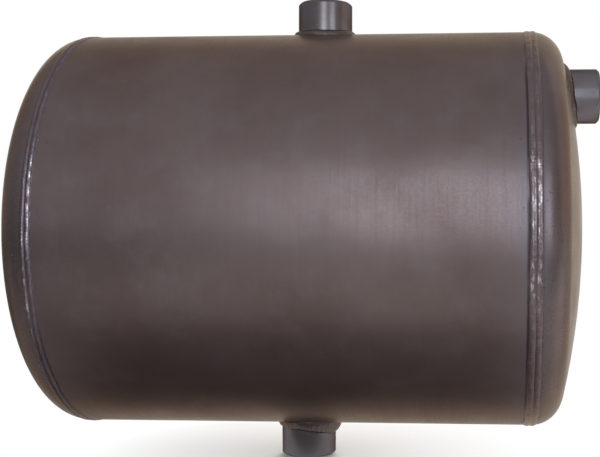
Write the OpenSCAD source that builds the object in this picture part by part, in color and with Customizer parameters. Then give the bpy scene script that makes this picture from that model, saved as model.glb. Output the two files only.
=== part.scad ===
/* [Shell] */
// Outside diameter of the rolled shell
shell_od = 300; // [240:1:360]
// Thickness of the shell plate
shell_wall = 3; // [2:0.1:5]
// Distance between the two girth joints
joint_span = 335; // [220:1:600]
// Place of the lengthwise seam, in degrees from the top towards the back
seam_angle = 100; // [60:1:130]

/* [Heads] */
// Outside radius of the dished crown
crown_radius = 550; // [400:5:900]
// Outside radius of the knuckle
knuckle_radius = 23; // [16:0.5:30]
// Straight flange between the joint and the knuckle
head_flange = 1; // [0.5:0.1:8]
// Thickness of the head plate
head_wall = 3; // [2:0.1:5]

/* [Plate welds] */
// Gap left between the plate edges at the root
root_gap = 2; // [1:0.1:3]
// Height of the square root face under the bevel
root_face = 1; // [0.5:0.1:1.5]
// Bevel of each plate edge
bevel_angle = 30; // [20:1:40]
// Height of a weld run above the plate
run_height = 1.4; // [0.8:0.1:2]
// Width of one weld run
run_width = 5.6; // [5:0.1:8]
// Distance between the two runs that cap a girth weld
run_pitch = 4.2; // [3:0.1:5]
// Width of the single run that caps the lengthwise seam
seam_width = 8; // [7:0.1:10]
// Height of the seam run, less than that of the girth runs that cross it
seam_height = 1.1; // [0.6:0.1:1.3]

/* [Sockets] */
// Outside diameter of the weld-on sockets
socket_od = 42; // [38:0.5:48]
// Bore of the sockets, the minor diameter of a one inch parallel pipe thread
thread_bore = 30.3; // [24:0.1:33]
// Chamfer round the outer edge of the rim
rim_chamfer = 2; // [0.5:0.1:2.5]
// Chamfer that leads into the thread
thread_chamfer = 1.7; // [0.5:0.1:2]
// How far the top and bottom sockets stand out of the shell
socket_reach = 26.5; // [20:0.5:45]
// How far the end socket stands out of the crown, along its own axis
end_socket_reach = 24; // [18:0.5:45]
// Gap between a socket and the hole that it sits in
socket_clearance = 0.2; // [0.1:0.1:0.6]
// How far a socket's inner end clears the inside of the plate
inner_stand = 1; // [0.5:0.1:3]
// Leg of the fillet welds round the sockets
fillet_leg = 5; // [3:0.5:7]

/* [Places of the sockets] */
// Top socket along the shell, from the middle towards the right head
top_socket_shift = 9; // [-60:1:60]
// Bottom socket along the shell, from the middle towards the right head
bottom_socket_shift = -4; // [-10:1:10]
// Distance from the outside of the shell down to the end socket's axis
end_socket_inset = 48; // [47:1:110]

/* [Hidden] */
$fn = 256;

// How far a cutting shape runs past what it cuts
past = 1;
// Share of the leg at which a fillet weld's face stands proud; half would be flat
fillet_crown = 0.62;

scale_brown = [0.34, 0.30, 0.29];
head_brown = [0.31, 0.26, 0.25];
weld_grey = [0.25, 0.24, 0.26];
socket_grey = [0.27, 0.26, 0.28];

shell_r = shell_od / 2;
shell_inner_r = shell_r - shell_wall;
socket_r = socket_od / 2;
bore_r = thread_bore / 2;
axis_height = shell_r + socket_reach;
end_socket_height = shell_r - end_socket_inset;

// The knuckle's centre, the crown's centre on the axis, and where the two arcs meet
knuckle_centre = [shell_r - knuckle_radius, head_flange];
crown_offset = crown_radius - knuckle_radius;
crown_centre = head_flange - sqrt(pow(crown_offset, 2) - pow(knuckle_centre[0], 2));
crown_lean = asin(knuckle_centre[0] / crown_offset);

// Height of the crown beyond the joint, at a distance from the axis and a depth in the plate
function crown_height(distance, inset = 0) =
    crown_centre + sqrt(pow(crown_radius - inset, 2) - pow(distance, 2));

// Radius of the arc that rises by height over a chord of the given width
function arc_radius(width, height) = (pow(width / 2, 2) + pow(height, 2)) / (2 * height);

// How far the outside of the shell falls away at a distance from its top line
function shell_drop(distance) = shell_r - sqrt(pow(shell_r, 2) - pow(distance, 2));

weld_depth = max(shell_wall, head_wall);
root_radius = shell_r - weld_depth + root_face;
groove_half = root_gap / 2 + (weld_depth - root_face) * tan(bevel_angle);
run_r = arc_radius(run_width, run_height);
seam_sagitta = seam_height + shell_drop(seam_width / 2);
seam_r = arc_radius(seam_width, seam_sagitta);

shell_socket_sink = shell_r - sqrt(pow(shell_inner_r, 2) - pow(socket_r, 2)) + inner_stand;
end_socket_rim = crown_height(end_socket_height) + end_socket_reach;
end_socket_inner = crown_height(end_socket_height + socket_r, head_wall) - inner_stand;
end_socket_lean = asin(end_socket_height / crown_radius);

// Frames: the origin is the middle of the bottom socket's rim, and the tank's axis runs along X

module on_tank() {
    translate([-bottom_socket_shift, 0, axis_height]) children();
}

module along_axis() {
    rotate([0, 90, 0]) children();
}

module at_right_joint() {
    translate([joint_span / 2, 0, 0]) along_axis() children();
}

module at_left_joint() {
    mirror([1, 0, 0]) at_right_joint() children();
}

module at_top_socket() {
    translate([top_socket_shift, 0, 0]) children();
}

module at_bottom_socket() {
    translate([bottom_socket_shift, 0, 0]) mirror([0, 0, 1]) children();
}

// From the right joint, with Z along the tank and X pointing down
module at_end_socket() {
    at_right_joint() translate([-end_socket_height, 0, 0]) children();
}

// Profiles, with the radius along X and the way towards the head along Y

module head_profile(inset, tail) {
    crown = crown_radius - inset;
    knuckle = knuckle_radius - inset;
    meeting = [crown * sin(crown_lean), crown_centre + crown * cos(crown_lean)];
    wall_r = shell_r - inset;
    polygon([
        [0, -tail], [wall_r, -tail], [wall_r, head_flange],
        knuckle_centre, meeting, [0, meeting[1]]
    ]);
    intersection() {
        translate(knuckle_centre) circle(knuckle);
        translate(knuckle_centre) square(knuckle + past);
    }
    intersection() {
        translate([0, crown_centre]) circle(crown);
        translate([0, meeting[1]]) square([meeting[0], crown]);
    }
}

// One half of the bevelled groove between two plate edges, from the root outwards
module groove_profile(inner, outer) {
    top_half = groove_half + (outer - shell_r) * tan(bevel_angle);
    polygon([
        [inner, -root_gap / 2], [root_radius, -root_gap / 2], [outer, -top_half],
        [outer, top_half], [root_radius, root_gap / 2], [inner, root_gap / 2]
    ]);
}

module girth_weld_profile(inner) {
    groove_profile(inner, shell_r);
    difference() {
        for (side = [-1, 1])
            translate([shell_r + run_height - run_r, side * run_pitch / 2]) circle(run_r);
        translate([0, -run_width * 2]) square([shell_r, run_width * 2]);
        head_profile(0, 0);
    }
}

// The plates

module girth_groove() {
    rotate_extrude() groove_profile(shell_r - weld_depth - past, shell_r + run_height);
}

module seam_place() {
    along_axis() rotate([0, 0, 180 - seam_angle]) children();
}

module shell_body(radius, length) {
    along_axis() cylinder(r = radius, h = length, center = true);
}

module shell_hole() {
    cylinder(r = socket_r + socket_clearance, h = shell_od);
}

module shell() {
    color(scale_brown) on_tank() difference() {
        shell_body(shell_r, joint_span);
        shell_body(shell_inner_r, joint_span + past);
        at_right_joint() girth_groove();
        at_left_joint() girth_groove();
        seam_place() linear_extrude(joint_span + past, center = true)
            groove_profile(shell_inner_r - past, shell_r + past);
        at_top_socket() shell_hole();
        at_bottom_socket() shell_hole();
    }
}

module plain_head() {
    difference() {
        rotate_extrude() difference() {
            head_profile(0, 0);
            head_profile(head_wall, past);
        }
        girth_groove();
    }
}

module left_head() {
    color(head_brown) on_tank() at_left_joint() plain_head();
}

module right_head() {
    color(head_brown) on_tank() difference() {
        at_right_joint() plain_head();
        at_end_socket() cylinder(r = socket_r + socket_clearance, h = end_socket_rim);
    }
}

// The plate welds

module girth_weld() {
    rotate_extrude() girth_weld_profile(shell_r - weld_depth);
}

module left_girth_weld() {
    color(weld_grey) on_tank() at_left_joint() girth_weld();
}

module right_girth_weld() {
    color(weld_grey) on_tank() at_right_joint() girth_weld();
}

module seam_profile() {
    intersection() {
        groove_profile(shell_inner_r - past, shell_r + past);
        difference() {
            circle(shell_r);
            circle(shell_inner_r);
        }
    }
    difference() {
        translate([shell_r + seam_height - seam_r, 0]) circle(seam_r);
        circle(shell_r);
    }
}

// The girth weld with the valley between its runs filled, which ends the seam
module seam_end() {
    rotate_extrude() {
        girth_weld_profile(shell_r - weld_depth - past);
        translate([shell_r - past, -run_pitch / 2]) square([run_height + past, run_pitch]);
    }
}

module seam_weld() {
    color(weld_grey) on_tank() difference() {
        seam_place() linear_extrude(joint_span, center = true) seam_profile();
        at_right_joint() seam_end();
        at_left_joint() seam_end();
    }
}

// The sockets and their fillet welds

module socket(inner, rim) {
    rotate_extrude() polygon([
        [bore_r, inner], [socket_r, inner], [socket_r, rim - rim_chamfer],
        [socket_r - rim_chamfer, rim], [bore_r + thread_chamfer, rim], [bore_r, rim - thread_chamfer]
    ]);
}

module shell_socket() {
    socket(shell_r - shell_socket_sink, shell_r + socket_reach);
}

module top_socket() {
    color(socket_grey) on_tank() at_top_socket() shell_socket();
}

module bottom_socket() {
    color(socket_grey) on_tank() at_bottom_socket() shell_socket();
}

module end_socket() {
    color(socket_grey) on_tank() at_end_socket() socket(end_socket_inner, end_socket_rim);
}

// A solid collar round a radius on the plane z = 0, whose face runs on below it
module fillet_profile(radius, below) {
    rise = (1 - fillet_crown) / fillet_crown;
    crown = fillet_crown * fillet_leg;
    polygon([
        [0, -below], [radius + fillet_leg + below * rise, -below],
        [radius + crown, crown], [0, crown + (radius + crown) * rise]
    ]);
}

module shell_socket_weld() {
    toe = socket_r + fillet_leg;
    difference() {
        translate([0, 0, shell_r]) rotate_extrude() fillet_profile(socket_r, 2 * shell_drop(toe));
        cylinder(r = socket_r, h = shell_od);
    }
}

module top_socket_weld() {
    color(weld_grey) on_tank() difference() {
        at_top_socket() shell_socket_weld();
        shell_body(shell_r, joint_span);
    }
}

module bottom_socket_weld() {
    color(weld_grey) on_tank() difference() {
        at_bottom_socket() shell_socket_weld();
        shell_body(shell_r, joint_span);
    }
}

// The crown is a sphere, so it is also round about the line from its centre to the socket
module end_socket_weld() {
    lean = end_socket_lean;
    color(weld_grey) on_tank() at_end_socket() difference() {
        translate([0, 0, crown_height(end_socket_height)]) rotate([0, -lean, 0])
            rotate_extrude() difference() {
                fillet_profile(socket_r / cos(lean), fillet_leg);
                translate([0, -crown_radius]) circle(crown_radius);
            }
        cylinder(r = socket_r, h = end_socket_rim);
    }
}

shell();
seam_weld();
left_head();
right_head();
left_girth_weld();
right_girth_weld();
top_socket();
bottom_socket();
end_socket();
top_socket_weld();
bottom_socket_weld();
end_socket_weld();
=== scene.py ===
"""Looks of a bare welded steel pressure tank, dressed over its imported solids."""

import logging
import math
from collections.abc import Callable
from dataclasses import dataclass, field
from enum import Enum

import bmesh
import bpy
import numpy as np
from mathutils import Matrix, Vector


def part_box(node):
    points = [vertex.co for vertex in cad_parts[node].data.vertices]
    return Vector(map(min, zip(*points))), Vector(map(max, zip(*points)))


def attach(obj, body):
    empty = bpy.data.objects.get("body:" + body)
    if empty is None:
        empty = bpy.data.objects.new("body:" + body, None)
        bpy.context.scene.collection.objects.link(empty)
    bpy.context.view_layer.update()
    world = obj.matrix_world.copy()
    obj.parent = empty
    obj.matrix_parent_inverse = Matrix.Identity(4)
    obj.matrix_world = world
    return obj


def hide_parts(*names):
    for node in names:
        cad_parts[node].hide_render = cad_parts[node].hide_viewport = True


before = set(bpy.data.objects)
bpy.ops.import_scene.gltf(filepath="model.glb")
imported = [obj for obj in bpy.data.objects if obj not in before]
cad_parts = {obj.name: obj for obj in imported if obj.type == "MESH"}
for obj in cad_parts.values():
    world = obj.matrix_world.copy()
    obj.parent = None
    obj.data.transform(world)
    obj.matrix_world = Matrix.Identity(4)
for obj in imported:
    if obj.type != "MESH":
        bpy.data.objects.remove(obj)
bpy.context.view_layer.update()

MM = 0.001
BODY = "root"
PHOTO_WIDTH_PX = 600
PHOTO_HEIGHT_PX = 457
# Points closer than this are one, in a tree's grid and in a finished mesh.
GRID_MERGE = 0.004 * MM
MESH_MERGE = 0.002 * MM

Colour = tuple[float, float, float]
Span = tuple[float, float]
Tree = bpy.types.NodeTree
Socket = bpy.types.NodeSocket
Mesh = bpy.types.Mesh
Material = bpy.types.Material
Inputs = dict[str, float | int | Material]
log = logging.getLogger("tank")


class End(Enum):
    """The two ends of the tank, with the way that each one points along X."""

    LEFT = -1
    RIGHT = 1


class Port(Enum):
    """The three sockets, by the CAD node of each."""

    TOP = "top_socket"
    BOTTOM = "bottom_socket"
    END = "end_socket"


class Slot(Enum):
    """The record's material slots of the pieces that are modelled here."""

    WELD = "weld_metal"
    SOCKET = "socket_steel"


class Kind(Enum):
    """Kinds of values that a node tree takes in or puts out."""

    NUMBER = "NodeSocketFloat"
    COUNT = "NodeSocketInt"
    PLACE = "NodeSocketVector"
    COLOUR = "NodeSocketColor"
    FINISH = "NodeSocketMaterial"


Kinds = dict[str, Kind]


class Effect(Enum):
    """Shader effects that more than one finish shares."""

    SCALE = "mill_scale"
    HEAT = "heat_tint"


@dataclass(frozen=True)
class Tank:
    """Main sizes of the tank, in metres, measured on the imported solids.

    Attributes:
        mid_x: Middle of the shell along the tank's axis.
        axis_z: Height of the tank's axis.
        shell_r: Outside radius of the shell.
        joint_half: Distance from the middle to each girth joint.
        knuckle_r: Outside radius of the heads' knuckle.
        flange: Straight part of a head before its knuckle.
        crown_r: Outside radius of the heads' crown.
        seam_angle: Place of the lengthwise seam, from the top towards the back.
    """

    mid_x: float
    axis_z: float
    shell_r: float
    joint_half: float
    knuckle_r: float = 23 * MM
    flange: float = 1 * MM
    crown_r: float = 550 * MM
    seam_angle: float = math.radians(100)

    @classmethod
    def measured(cls, half_gap: float = 1 * MM) -> "Tank":
        """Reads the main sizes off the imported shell.

        Args:
            half_gap: Half of the root gap between the shell and a head.

        Returns:
            The sizes of this tank.
        """
        low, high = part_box("shell")
        return cls(
            mid_x=(low.x + high.x) / 2,
            axis_z=(low.z + high.z) / 2,
            shell_r=(high.z - low.z) / 2,
            joint_half=(high.x - low.x) / 2 + half_gap,
        )

    @property
    def crown_centre(self) -> float:
        """Place of the crown's centre, from the joint outwards."""
        reach = self.crown_r - self.knuckle_r
        return self.flange - math.sqrt(reach**2 - (self.shell_r - self.knuckle_r) ** 2)

    def joint_x(self, end: End) -> float:
        """Place of a girth joint along X."""
        return self.mid_x + end.value * self.joint_half


# Node trees


class Scalar:
    """A number that varies over a node tree. Its arithmetic adds Math nodes."""

    def __init__(self, tree: Tree, socket: Socket) -> None:
        """Wraps an output socket.

        Args:
            tree: The node tree that the socket is in.
            socket: The output that gives the number.
        """
        self.tree = tree
        self.socket = socket

    @staticmethod
    def of(tree: Tree, operation: str, *values: "Scalar | float") -> "Scalar":
        """Adds one Math node.

        Args:
            tree: The node tree to add it to.
            operation: Blender's name of the operation.
            values: The node's inputs, in order.

        Returns:
            The node's result.
        """
        node = tree.nodes.new("ShaderNodeMath")
        node.operation = operation
        for socket, value in zip(node.inputs, values):
            feed(tree, value, socket)
        return Scalar(tree, node.outputs[0])

    def __add__(self, other: "Scalar | float") -> "Scalar":
        """The sum."""
        return Scalar.of(self.tree, "ADD", self, other)

    __radd__ = __add__

    def __sub__(self, other: "Scalar | float") -> "Scalar":
        """The difference."""
        return Scalar.of(self.tree, "SUBTRACT", self, other)

    def __rsub__(self, other: float) -> "Scalar":
        """The difference from a plain number."""
        return Scalar.of(self.tree, "SUBTRACT", other, self)

    def __mul__(self, other: "Scalar | float") -> "Scalar":
        """The product."""
        return Scalar.of(self.tree, "MULTIPLY", self, other)

    def __truediv__(self, other: "Scalar | float") -> "Scalar":
        """The quotient."""
        return Scalar.of(self.tree, "DIVIDE", self, other)

    def __pow__(self, exponent: float) -> "Scalar":
        """The power."""
        return Scalar.of(self.tree, "POWER", self, exponent)

    def maximum(self, other: "Scalar | float") -> "Scalar":
        """The greater of the two."""
        return Scalar.of(self.tree, "MAXIMUM", self, other)

    def minimum(self, other: "Scalar | float") -> "Scalar":
        """The lesser of the two."""
        return Scalar.of(self.tree, "MINIMUM", self, other)

    def clamped(self) -> "Scalar":
        """The number, kept between 0 and 1."""
        return self.maximum(0.0).minimum(1.0)

    def over(self, limit: float, gain: float) -> "Scalar":
        """How far the number is over a limit, times a gain, kept between 0 and 1."""
        return ((self - limit) * gain).clamped()

    def between(self, start: float, stop: float) -> "Scalar":
        """0 up to the start, 1 from the stop on, and a straight slope between them."""
        return ((self - start) / (stop - start)).clamped()

    def does(self, operation: str) -> "Scalar":
        """The result of an operation on this number alone, such as SINE or SQRT."""
        return Scalar.of(self.tree, operation, self)

    def above(self, limit: "Scalar | float") -> "Scalar":
        """1 where the number is over the limit, and 0 elsewhere."""
        return Scalar.of(self.tree, "GREATER_THAN", self, limit)


Value = Scalar | Socket | Colour | float


def feed(tree: Tree, value: Value, socket: Socket) -> None:
    """Links a value to a node's input, or sets it there if it is a plain one.

    Args:
        tree: The node tree that the input is in.
        value: The value.
        socket: The input.
    """
    if isinstance(value, Scalar):
        tree.links.new(value.socket, socket)
    elif isinstance(value, Socket):
        tree.links.new(value, socket)
    elif isinstance(value, tuple):
        socket.default_value = (*value, 1.0)
    else:
        socket.default_value = value


def combine(tree: Tree, *parts: Scalar | float) -> Socket:
    """Joins three numbers into a vector.

    Args:
        tree: The node tree to add the node to.
        parts: The X, Y and Z parts.

    Returns:
        The vector.
    """
    node = tree.nodes.new("ShaderNodeCombineXYZ")
    for socket, value in zip(node.inputs, parts):
        feed(tree, value, socket)
    return node.outputs[0]


def separate(tree: Tree, vector: Socket) -> list[Scalar]:
    """Splits a vector into three numbers.

    Args:
        tree: The node tree to add the node to.
        vector: The vector.

    Returns:
        The X, Y and Z parts.
    """
    node = tree.nodes.new("ShaderNodeSeparateXYZ")
    tree.links.new(vector, node.inputs[0])
    return [Scalar(tree, output) for output in node.outputs]


def noise(tree: Tree, vector: Socket, scale: float, detail: float = 2.0, rough: float = 0.5) -> Scalar:
    """Adds a noise texture.

    Args:
        tree: The node tree to add it to.
        vector: Where the noise is read.
        scale: Number of features per unit of the vector.
        detail: Number of finer layers.
        rough: Strength of the finer layers.

    Returns:
        The noise, from 0 to 1 about a middle of 0.5.
    """
    node = tree.nodes.new("ShaderNodeTexNoise")
    for title, value in (("Vector", vector), ("Scale", scale), ("Detail", detail), ("Roughness", rough)):
        feed(tree, value, node.inputs[title])
    return Scalar(tree, node.outputs[0])


def scaled(tree: Tree, vector: Socket, by: tuple[float, float, float]) -> Socket:
    """Stretches a pattern's coordinates.

    Args:
        tree: The node tree to add the node to.
        vector: The coordinates.
        by: Factor along each axis.

    Returns:
        The stretched coordinates.
    """
    node = tree.nodes.new("ShaderNodeVectorMath")
    node.operation = "MULTIPLY"
    tree.links.new(vector, node.inputs[0])
    node.inputs[1].default_value = by
    return node.outputs[0]


# Where a Mix node has its share and its two colours.
MIX_INPUTS = (0, 6, 7)
MIX_OUTPUT = 2


def mix_colour(
    tree: Tree, share: Scalar | float, first: Socket | Colour, second: Socket | Colour, blend: str = "MIX"
) -> Socket:
    """Mixes two colours.

    Args:
        tree: The node tree to add the node to.
        share: Share of the second colour.
        first: The first colour.
        second: The second colour.
        blend: Blender's name of the way to mix.

    Returns:
        The mixed colour.
    """
    node = tree.nodes.new("ShaderNodeMix")
    node.data_type = "RGBA"
    node.blend_type = blend
    for index, value in zip(MIX_INPUTS, (share, first, second)):
        feed(tree, value, node.inputs[index])
    return node.outputs[MIX_OUTPUT]


# Geometry Nodes


class ShapeTree:
    """A Geometry Nodes tree that makes a piece."""

    def __init__(self, name: str, sizes: tuple[str, ...], others: Kinds) -> None:
        """Makes an empty tree.

        Args:
            name: Name of the tree.
            sizes: Names of the inputs that are sizes or other plain numbers.
            others: Name and kind of each other input.
        """
        self.tree = bpy.data.node_groups.new(name, "GeometryNodeTree")
        face = self.tree.interface
        face.new_socket("Geometry", in_out="OUTPUT", socket_type="NodeSocketGeometry")
        for title, kind in {**others, **dict.fromkeys(sizes, Kind.NUMBER)}.items():
            face.new_socket(title, in_out="INPUT", socket_type=kind.value)
        self.source = self.tree.nodes.new("NodeGroupInput")
        self.sink = self.tree.nodes.new("NodeGroupOutput")

    def get(self, title: str) -> Scalar:
        """The named input, as a number."""
        return Scalar(self.tree, self.source.outputs[title])

    def grid(self) -> tuple[Socket, Scalar, Scalar]:
        """Adds the flat grid, whose points the tree then places.

        Returns:
            The grid, and the share of the way along it and across it, from 0 to 1.
        """
        node = self.tree.nodes.new("GeometryNodeMeshGrid")
        for side, title in (("X", "Steps Along"), ("Y", "Steps Across")):
            node.inputs[f"Size {side}"].default_value = 1.0
            self.tree.links.new(self.source.outputs[title], node.inputs[f"Vertices {side}"])
        place = self.tree.nodes.new("GeometryNodeInputPosition")
        along, across, _ = separate(self.tree, place.outputs[0])
        return node.outputs["Mesh"], along + 0.5, across + 0.5

    def random(self, low: float, high: float, seed: int) -> Scalar:
        """A random number for each point.

        Args:
            low: The least that it can be.
            high: The most that it can be.
            seed: Sets one such number apart from another.

        Returns:
            The number.
        """
        node = self.tree.nodes.new("FunctionNodeRandomValue")
        node.data_type = "FLOAT"
        numbers = {socket.name: socket for socket in node.inputs if socket.type == "VALUE"}
        numbers["Min"].default_value, numbers["Max"].default_value = low, high
        node.inputs["Seed"].default_value = seed
        return Scalar(self.tree, next(socket for socket in node.outputs if socket.type == "VALUE"))

    def on_tank(self, along: Scalar, radius: Scalar, angle: Scalar) -> Socket:
        """A point round the tank's axis.

        Args:
            along: Its place along X.
            radius: Its distance from the axis.
            angle: Its place round the axis, from the top towards the back.

        Returns:
            The point.
        """
        height = self.get("Axis Height") + radius * angle.does("COSINE")
        return combine(self.tree, along, radius * angle.does("SINE"), height)

    def skin_radius(self, from_joint: Scalar) -> Scalar:
        """Outside radius of the tank beside a girth joint, on the straight shell or on a head's knuckle.

        Args:
            from_joint: Place beside the joint, along X.

        Returns:
            The radius there.
        """
        past_flange = (from_joint * self.get("Head Side") - self.get("Flange")).maximum(0.0)
        knuckle = self.get("Knuckle")
        return self.get("Radius") - knuckle + (knuckle * knuckle - past_flange * past_flange).does("SQRT")

    def marked(self, shape: Socket, marks: dict[str, Scalar | float]) -> Socket:
        """Keeps numbers on a shape's points, for the material.

        Args:
            shape: The shape.
            marks: The numbers, by name.

        Returns:
            The marked shape.
        """
        for title, value in marks.items():
            store = self.tree.nodes.new("GeometryNodeStoreNamedAttribute")
            store.data_type = "FLOAT"
            store.domain = "POINT"
            store.inputs["Name"].default_value = title
            self.tree.links.new(shape, store.inputs["Geometry"])
            feed(self.tree, value, store.inputs["Value"])
            shape = store.outputs["Geometry"]
        return shape

    def bend(self, grid: Socket, place: Socket, marks: dict[str, Scalar]) -> None:
        """Places the grid's points, closes it, and ends the tree.

        Args:
            grid: The flat grid.
            place: Where each of its points goes.
            marks: Numbers that are kept on the points, by name, for the material.
        """
        nodes, links = self.tree.nodes, self.tree.links
        move = nodes.new("GeometryNodeSetPosition")
        links.new(self.marked(grid, marks), move.inputs["Geometry"])
        links.new(place, move.inputs["Position"])
        merge = nodes.new("GeometryNodeMergeByDistance")
        merge.inputs["Distance"].default_value = GRID_MERGE
        links.new(move.outputs["Geometry"], merge.inputs["Geometry"])
        self.finish(merge.outputs["Geometry"])

    def finish(self, shape: Socket) -> None:
        """Smooths a shape, makes it real and sets its material.

        Args:
            shape: The finished shape.
        """
        for step in ("SetShadeSmooth", "RealizeInstances", "SetMaterial"):
            node = self.tree.nodes.new("GeometryNode" + step)
            self.tree.links.new(shape, node.inputs["Geometry"])
            shape = node.outputs["Geometry"]
        self.tree.links.new(self.source.outputs["Material"], node.inputs["Material"])
        self.tree.links.new(shape, self.sink.inputs["Geometry"])

    def make(self, name: str, values: Inputs) -> Mesh:
        """Runs the tree once.

        Args:
            name: Name of the mesh.
            values: The tree's inputs, by name.

        Returns:
            The finished mesh, with its faces outwards.
        """
        carrier = bpy.data.objects.new(name + "_carrier", bpy.data.meshes.new(name + "_carrier"))
        bpy.context.scene.collection.objects.link(carrier)
        modifier = carrier.modifiers.new("Shape", "NODES")
        modifier.node_group = self.tree
        for item in self.tree.interface.items_tree:
            if item.item_type == "SOCKET" and item.in_out == "INPUT":
                modifier[item.identifier] = values[item.name]
        bpy.context.view_layer.update()
        seen = carrier.evaluated_get(bpy.context.evaluated_depsgraph_get())
        mesh = bpy.data.meshes.new_from_object(seen)
        mesh.name = name
        carrier.modifiers.remove(modifier)
        bpy.data.objects.remove(carrier)
        face_outwards(mesh)
        return mesh


def face_outwards(mesh: Mesh, close: bool = False) -> None:
    """Merges a mesh's doubled points, or fills its open ends, and turns its faces outwards.

    Args:
        mesh: The mesh to change.
        close: Whether its open ends are filled instead.
    """
    work = bmesh.new()
    work.from_mesh(mesh)
    if close:
        bmesh.ops.holes_fill(work, edges=[edge for edge in work.edges if edge.is_boundary], sides=0)
    else:
        bmesh.ops.remove_doubles(work, verts=work.verts, dist=MESH_MERGE)
    bmesh.ops.recalc_face_normals(work, faces=work.faces)
    work.to_mesh(mesh)
    work.free()


BEAD_SIZES = ("Ripples", "Ripple Depth", "Wander", "Seed", "Sink")
BEAD_OTHERS = {"Steps Along": Kind.COUNT, "Steps Across": Kind.COUNT, "Material": Kind.FINISH}
JOINT_SIZES = ("Radius", "Axis Height", "Joint X", "Head Side", "Knuckle", "Flange")
# Share of the way round a bead's section that its face takes.
FACE_SHARE = 0.75
# How far a ripple's edges lag behind its middle, in ripples.
CRESCENT = 0.9
# How deep a bead's toes lie under the plate.
BEDDING = 0.12 * MM
# How deep a fillet's toes lie in the plate and in the socket.
TUCK = 0.15 * MM
# Keeps the last point of a face apart from the underside.
ROUND_OFF = 1e-6


@dataclass
class Bead:
    """The rippled face and the buried underside of a weld run, as fields over its grid.

    Attributes:
        form: The tree that the run is made in.
        along: Share of the way along the run.
        around: Share of the way round its section: over its face first, then back under it.
        ring: A vector that runs along with the bead, for the noise. It closes on itself where the bead does.
    """

    form: ShapeTree
    along: Scalar
    around: Scalar
    ring: Socket

    def __post_init__(self) -> None:
        """Splits the way round the section into the ways over the face and back under it."""
        self.over = (self.around / FACE_SHARE).clamped()
        self.under = self.around.between(FACE_SHARE, 1.0)

    def uneven(self, scale: float, step: float) -> Scalar:
        """Slow change along the run, about 0.

        Args:
            scale: Number of features per unit of the ring.
            step: Sets one such change apart from another.

        Returns:
            The change, from about -0.5 to 0.5.
        """
        tree = self.form.tree
        shift = tree.nodes.new("ShaderNodeVectorMath")
        shift.operation = "ADD"
        tree.links.new(self.ring, shift.inputs[0])
        tree.links.new(combine(tree, 0.0, 0.0, self.form.get("Seed") + step), shift.inputs[1])
        return noise(tree, shift.outputs[0], scale, detail=3.0, rough=0.6) - 0.5

    def ripple(self, across: Scalar) -> Scalar:
        """Height of the ripples, like a row of overlapping coins.

        Args:
            across: Place across the run, from -1 to 1.

        Returns:
            The height, from 0 between ripples to 1 on them.
        """
        lag = across * across * CRESCENT
        drift = self.uneven(9.0, 3.7) * 2.2
        phase = (self.along * self.form.get("Ripples") + lag + drift).does("FRACT")
        return (phase * (1.0 - phase) * 4.0) ** 0.7

    def across(self) -> Scalar:
        """Place across the run, from -1 to 1 over its face and back again under it."""
        return self.over * 2.0 - 1.0 - self.under * 2.0

    def aside(self, across: Scalar) -> Scalar:
        """Place beside the middle of the run, which strays and changes its width."""
        half = self.form.get("Width") * (self.uneven(7.0, 0.0) * 0.5 + 1.0) * 0.5
        return self.form.get("Wander") * self.uneven(4.0, 1.3) + half * across

    def lift(self, face: Scalar) -> Scalar:
        """Height over the plate: the face's own height, or the depth of the underside."""
        buried = self.form.get("Sink") * (self.under * math.pi).does("SINE")
        return face * (1.0 - self.under.above(0.0)) - buried - BEDDING


def spatter_tree() -> ShapeTree:
    """Tree of a girth weld's spatter: small beads of steel on the plates, thickest beside the weld.

    Returns:
        The tree.
    """
    form = ShapeTree(
        "weld_spatter",
        JOINT_SIZES + ("Toe", "Reach", "Largest", "Middle Angle", "Spread"),
        {"Count": Kind.COUNT, "Material": Kind.FINISH},
    )
    tree = form.tree
    # Five in eight lie on the head's side of the joint.
    side = form.random(-0.6, 1.0, 5).above(0.0) * 2.0 - 1.0
    spot = form.random(0.0, 1.0, 6)
    from_joint = (form.get("Toe") + form.get("Reach") * spot * spot) * side * form.get("Head Side")
    angle = form.get("Middle Angle") + form.get("Spread") * form.random(-1.0, 1.0, 7)
    share = form.random(0.0, 1.0, 8)
    size = form.get("Largest") * (share * share * 0.6 + 0.4)
    points = tree.nodes.new("GeometryNodePoints")
    tree.links.new(form.source.outputs["Count"], points.inputs["Count"])
    place = form.on_tank(form.get("Joint X") + from_joint, form.skin_radius(from_joint), angle)
    tree.links.new(place, points.inputs["Position"])
    ball = tree.nodes.new("GeometryNodeMeshIcoSphere")
    ball.inputs["Radius"].default_value = 1.0
    ball.inputs["Subdivisions"].default_value = 2
    lay = tree.nodes.new("GeometryNodeInstanceOnPoints")
    tree.links.new(points.outputs["Points"], lay.inputs["Points"])
    tree.links.new(form.marked(ball.outputs["Mesh"], {"ripple": 1.0, "crest": 0.8}), lay.inputs["Instance"])
    tree.links.new(combine(tree, size, size, size), lay.inputs["Scale"])
    form.finish(lay.outputs["Instances"])
    return form


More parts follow.
